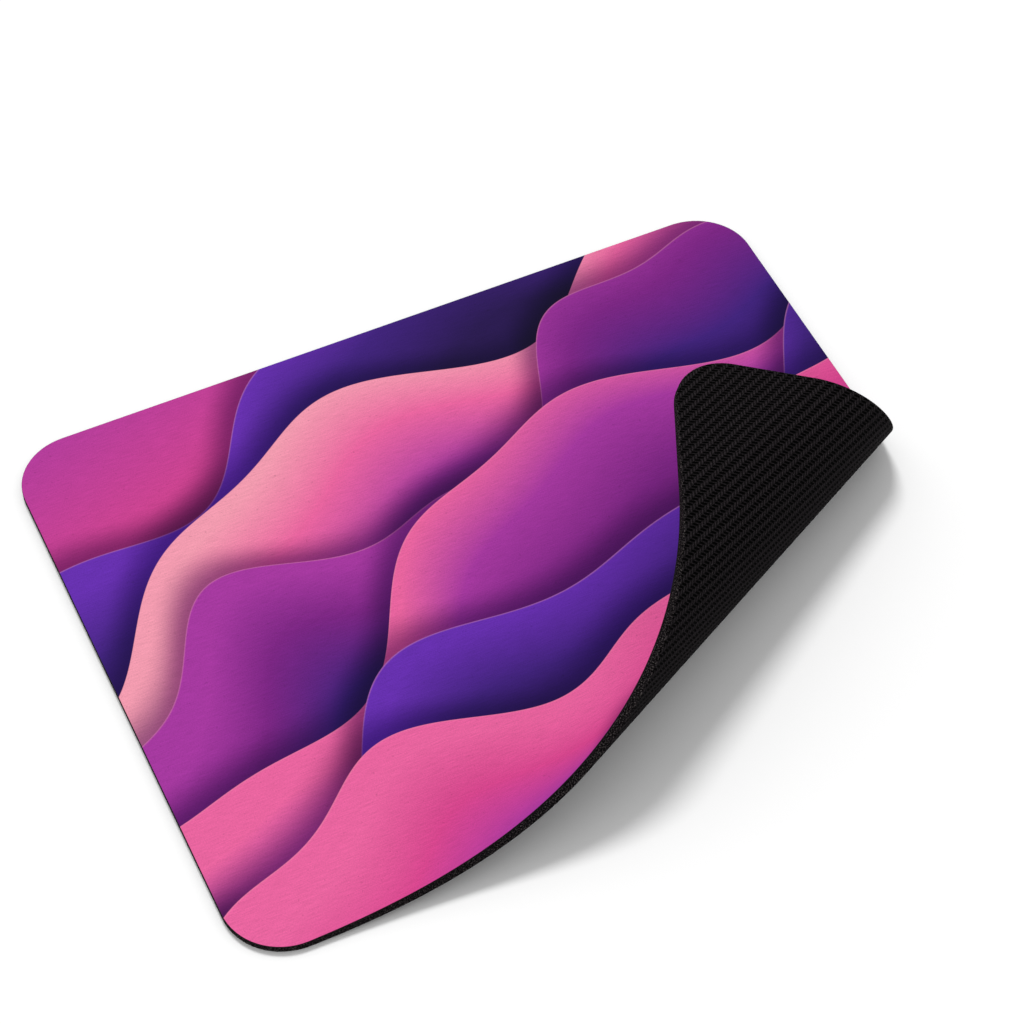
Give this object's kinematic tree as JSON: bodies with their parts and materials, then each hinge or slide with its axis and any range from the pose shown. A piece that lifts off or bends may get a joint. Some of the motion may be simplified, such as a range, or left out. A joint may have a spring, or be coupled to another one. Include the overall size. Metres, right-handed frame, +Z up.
{
  "type": "mouse pad",
  "caption": "Thin rectangular mouse pad with round corners: printed cloth on a textured rubber base, shown with a corner rolled back, which unrolls flat on coupled fold lines",
  "frame": {"origin": "Middle of the pad's flat outline, on the underside that lies on the desk.", "axes": "+Z up out of the desk, +X along the long edges towards the folded corner's end, +Y along the short edges towards the back edge; the rolled corner is the one at +X, -Y."},
  "size_m": [0.2205, 0.1808, 0.0509],
  "materials": {
    "printed_cloth": "matte",
    "rubber_base": "matte"
  },
  "bodies": {
    "panel": {"cloth_panel": "printed_cloth", "base_panel": "rubber_base"},
    "fold_01": {"cloth_fold_01": "printed_cloth", "base_fold_01": "rubber_base"},
    "fold_02": {"cloth_fold_02": "printed_cloth", "base_fold_02": "rubber_base"},
    "fold_03": {"cloth_fold_03": "printed_cloth", "base_fold_03": "rubber_base"},
    "fold_04": {"cloth_fold_04": "printed_cloth", "base_fold_04": "rubber_base"},
    "fold_05": {"cloth_fold_05": "printed_cloth", "base_fold_05": "rubber_base"},
    "fold_06": {"cloth_fold_06": "printed_cloth", "base_fold_06": "rubber_base"},
    "fold_07": {"cloth_fold_07": "printed_cloth", "base_fold_07": "rubber_base"},
    "fold_08": {"cloth_fold_08": "printed_cloth", "base_fold_08": "rubber_base"},
    "fold_09": {"cloth_fold_09": "printed_cloth", "base_fold_09": "rubber_base"},
    "fold_10": {"cloth_fold_10": "printed_cloth", "base_fold_10": "rubber_base"},
    "fold_11": {"cloth_fold_11": "printed_cloth", "base_fold_11": "rubber_base"},
    "fold_12": {"cloth_fold_12": "printed_cloth", "base_fold_12": "rubber_base"},
    "fold_13": {"cloth_fold_13": "printed_cloth", "base_fold_13": "rubber_base"},
    "corner": {"cloth_corner": "printed_cloth", "base_corner": "rubber_base"}
  },
  "joints": [
    {"name": "fold_line_01", "type": "hinge", "parent": "panel", "child": "fold_01", "pos_m": [0.01016, -0.04332, 0.0025], "axis": [-0.9059, -0.4235, 0], "range_deg": [-12, 4.5]},
    {"name": "fold_line_02", "type": "hinge", "parent": "fold_01", "child": "fold_02", "pos_m": [0.01883, -0.04489, 0.00358], "axis": [-0.8968, -0.4424, 0.0045], "range_deg": [-12, 4.5]},
    {"name": "fold_line_03", "type": "hinge", "parent": "fold_02", "child": "fold_03", "pos_m": [0.02663, -0.0462, 0.00562], "axis": [-0.8879, -0.4599, 0.0132], "range_deg": [-12, 4.5]},
    {"name": "fold_line_04", "type": "hinge", "parent": "fold_03", "child": "fold_04", "pos_m": [0.03359, -0.04711, 0.00845], "axis": [-0.8796, -0.4751, 0.0258], "range_deg": [-12, 4.5]},
    {"name": "fold_line_05", "type": "hinge", "parent": "fold_04", "child": "fold_05", "pos_m": [0.0397, -0.04749, 0.01191], "axis": [-0.8722, -0.4874, 0.0417], "range_deg": [-12, 4.5]},
    {"name": "fold_line_06", "type": "hinge", "parent": "fold_05", "child": "fold_06", "pos_m": [0.04498, -0.04726, 0.01582], "axis": [-0.8661, -0.4963, 0.0602], "range_deg": [-12, 4.5]},
    {"name": "fold_line_07", "type": "hinge", "parent": "fold_06", "child": "fold_07", "pos_m": [0.04945, -0.04636, 0.01999], "axis": [-0.8615, -0.5013, 0.0805], "range_deg": [-12, 4.5]},
    {"name": "fold_line_08", "type": "hinge", "parent": "fold_07", "child": "fold_08", "pos_m": [0.05312, -0.04479, 0.02424], "axis": [-0.8587, -0.5023, 0.1017], "range_deg": [-12, 4.5]},
    {"name": "fold_line_09", "type": "hinge", "parent": "fold_08", "child": "fold_09", "pos_m": [0.05602, -0.04256, 0.02838], "axis": [-0.8577, -0.4992, 0.1229], "range_deg": [-12, 4.5]},
    {"name": "fold_line_10", "type": "hinge", "parent": "fold_09", "child": "fold_10", "pos_m": [0.05819, -0.03972, 0.03224], "axis": [-0.8587, -0.4922, 0.1431], "range_deg": [-12, 4.5]},
    {"name": "fold_line_11", "type": "hinge", "parent": "fold_10", "child": "fold_11", "pos_m": [0.05968, -0.03633, 0.03566], "axis": [-0.8615, -0.4814, 0.1615], "range_deg": [-12, 4.5]},
    {"name": "fold_line_12", "type": "hinge", "parent": "fold_11", "child": "fold_12", "pos_m": [0.06053, -0.03251, 0.03852], "axis": [-0.866, -0.4676, 0.1771], "range_deg": [-12, 4.5]},
    {"name": "fold_line_13", "type": "hinge", "parent": "fold_12", "child": "fold_13", "pos_m": [0.06082, -0.02838, 0.04069], "axis": [-0.8721, -0.4511, 0.1894], "range_deg": [-12, 4.5]},
    {"name": "fold_line_14", "type": "hinge", "parent": "fold_13", "child": "corner", "pos_m": [0.0606, -0.02407, 0.04209], "axis": [-0.8795, -0.4328, 0.1978], "range_deg": [-12, 4.5]}
  ],
  "couplings": [
    {"joint": "fold_line_02", "follows": "fold_line_01", "ratio": 1},
    {"joint": "fold_line_03", "follows": "fold_line_01", "ratio": 1},
    {"joint": "fold_line_04", "follows": "fold_line_01", "ratio": 1},
    {"joint": "fold_line_05", "follows": "fold_line_01", "ratio": 1},
    {"joint": "fold_line_06", "follows": "fold_line_01", "ratio": 1},
    {"joint": "fold_line_07", "follows": "fold_line_01", "ratio": 1},
    {"joint": "fold_line_08", "follows": "fold_line_01", "ratio": 1},
    {"joint": "fold_line_09", "follows": "fold_line_01", "ratio": 1},
    {"joint": "fold_line_10", "follows": "fold_line_01", "ratio": 1},
    {"joint": "fold_line_11", "follows": "fold_line_01", "ratio": 1},
    {"joint": "fold_line_12", "follows": "fold_line_01", "ratio": 1},
    {"joint": "fold_line_13", "follows": "fold_line_01", "ratio": 1},
    {"joint": "fold_line_14", "follows": "fold_line_01", "ratio": 1}
  ]
}
